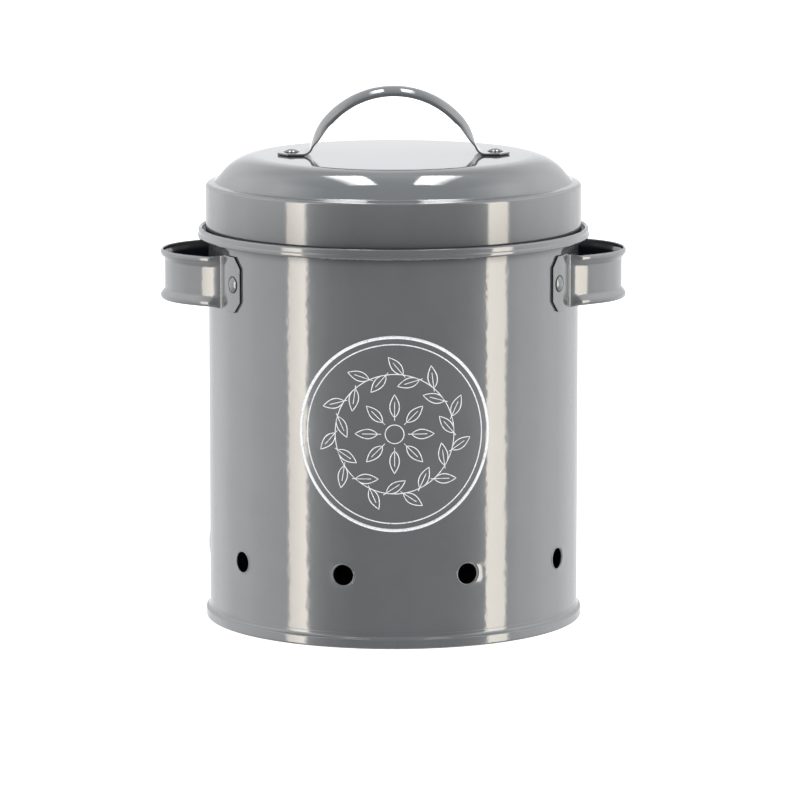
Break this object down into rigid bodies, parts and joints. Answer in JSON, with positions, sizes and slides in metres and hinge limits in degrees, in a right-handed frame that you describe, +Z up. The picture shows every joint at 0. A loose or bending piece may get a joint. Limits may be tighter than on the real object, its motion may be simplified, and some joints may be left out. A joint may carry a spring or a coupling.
{
  "type": "lidded onion storage tin",
  "caption": "Round vented enamel tin for keeping onions, with a domed lift-off lid under an arched strap handle and a riveted strap handle on each side",
  "frame": {"origin": "middle of the base, on the table", "axes": "+Z up, front toward -Y, a side handle toward each of -X and +X"},
  "size_m": [0.2342, 0.1968, 0.2684],
  "materials": {
    "drum_enamel": "glossy mid-grey baked enamel",
    "lid_enamel": "glossy mid-grey baked enamel",
    "handle_enamel": "glossy mid-grey baked enamel on thicker strap",
    "rivet_enamel": "glossy mid-grey enamel over the rivet heads"
  },
  "bodies": {
    "bin": {"body_shell": "drum_enamel", "base_plate": "drum_enamel", "left_side_handle": "handle_enamel", "right_side_handle": "handle_enamel", "front_left_rivet": "rivet_enamel", "rear_left_rivet": "rivet_enamel", "front_right_rivet": "rivet_enamel", "rear_right_rivet": "rivet_enamel"},
    "lid": {"lid_shell": "lid_enamel", "lid_handle": "handle_enamel", "left_lid_rivet": "rivet_enamel", "right_lid_rivet": "rivet_enamel"}
  },
  "joints": [
    {"name": "lid_lift", "type": "slide", "parent": "bin", "child": "lid", "axis": [0, 0, 1], "range_m": [0, 0.12]}
  ]
}
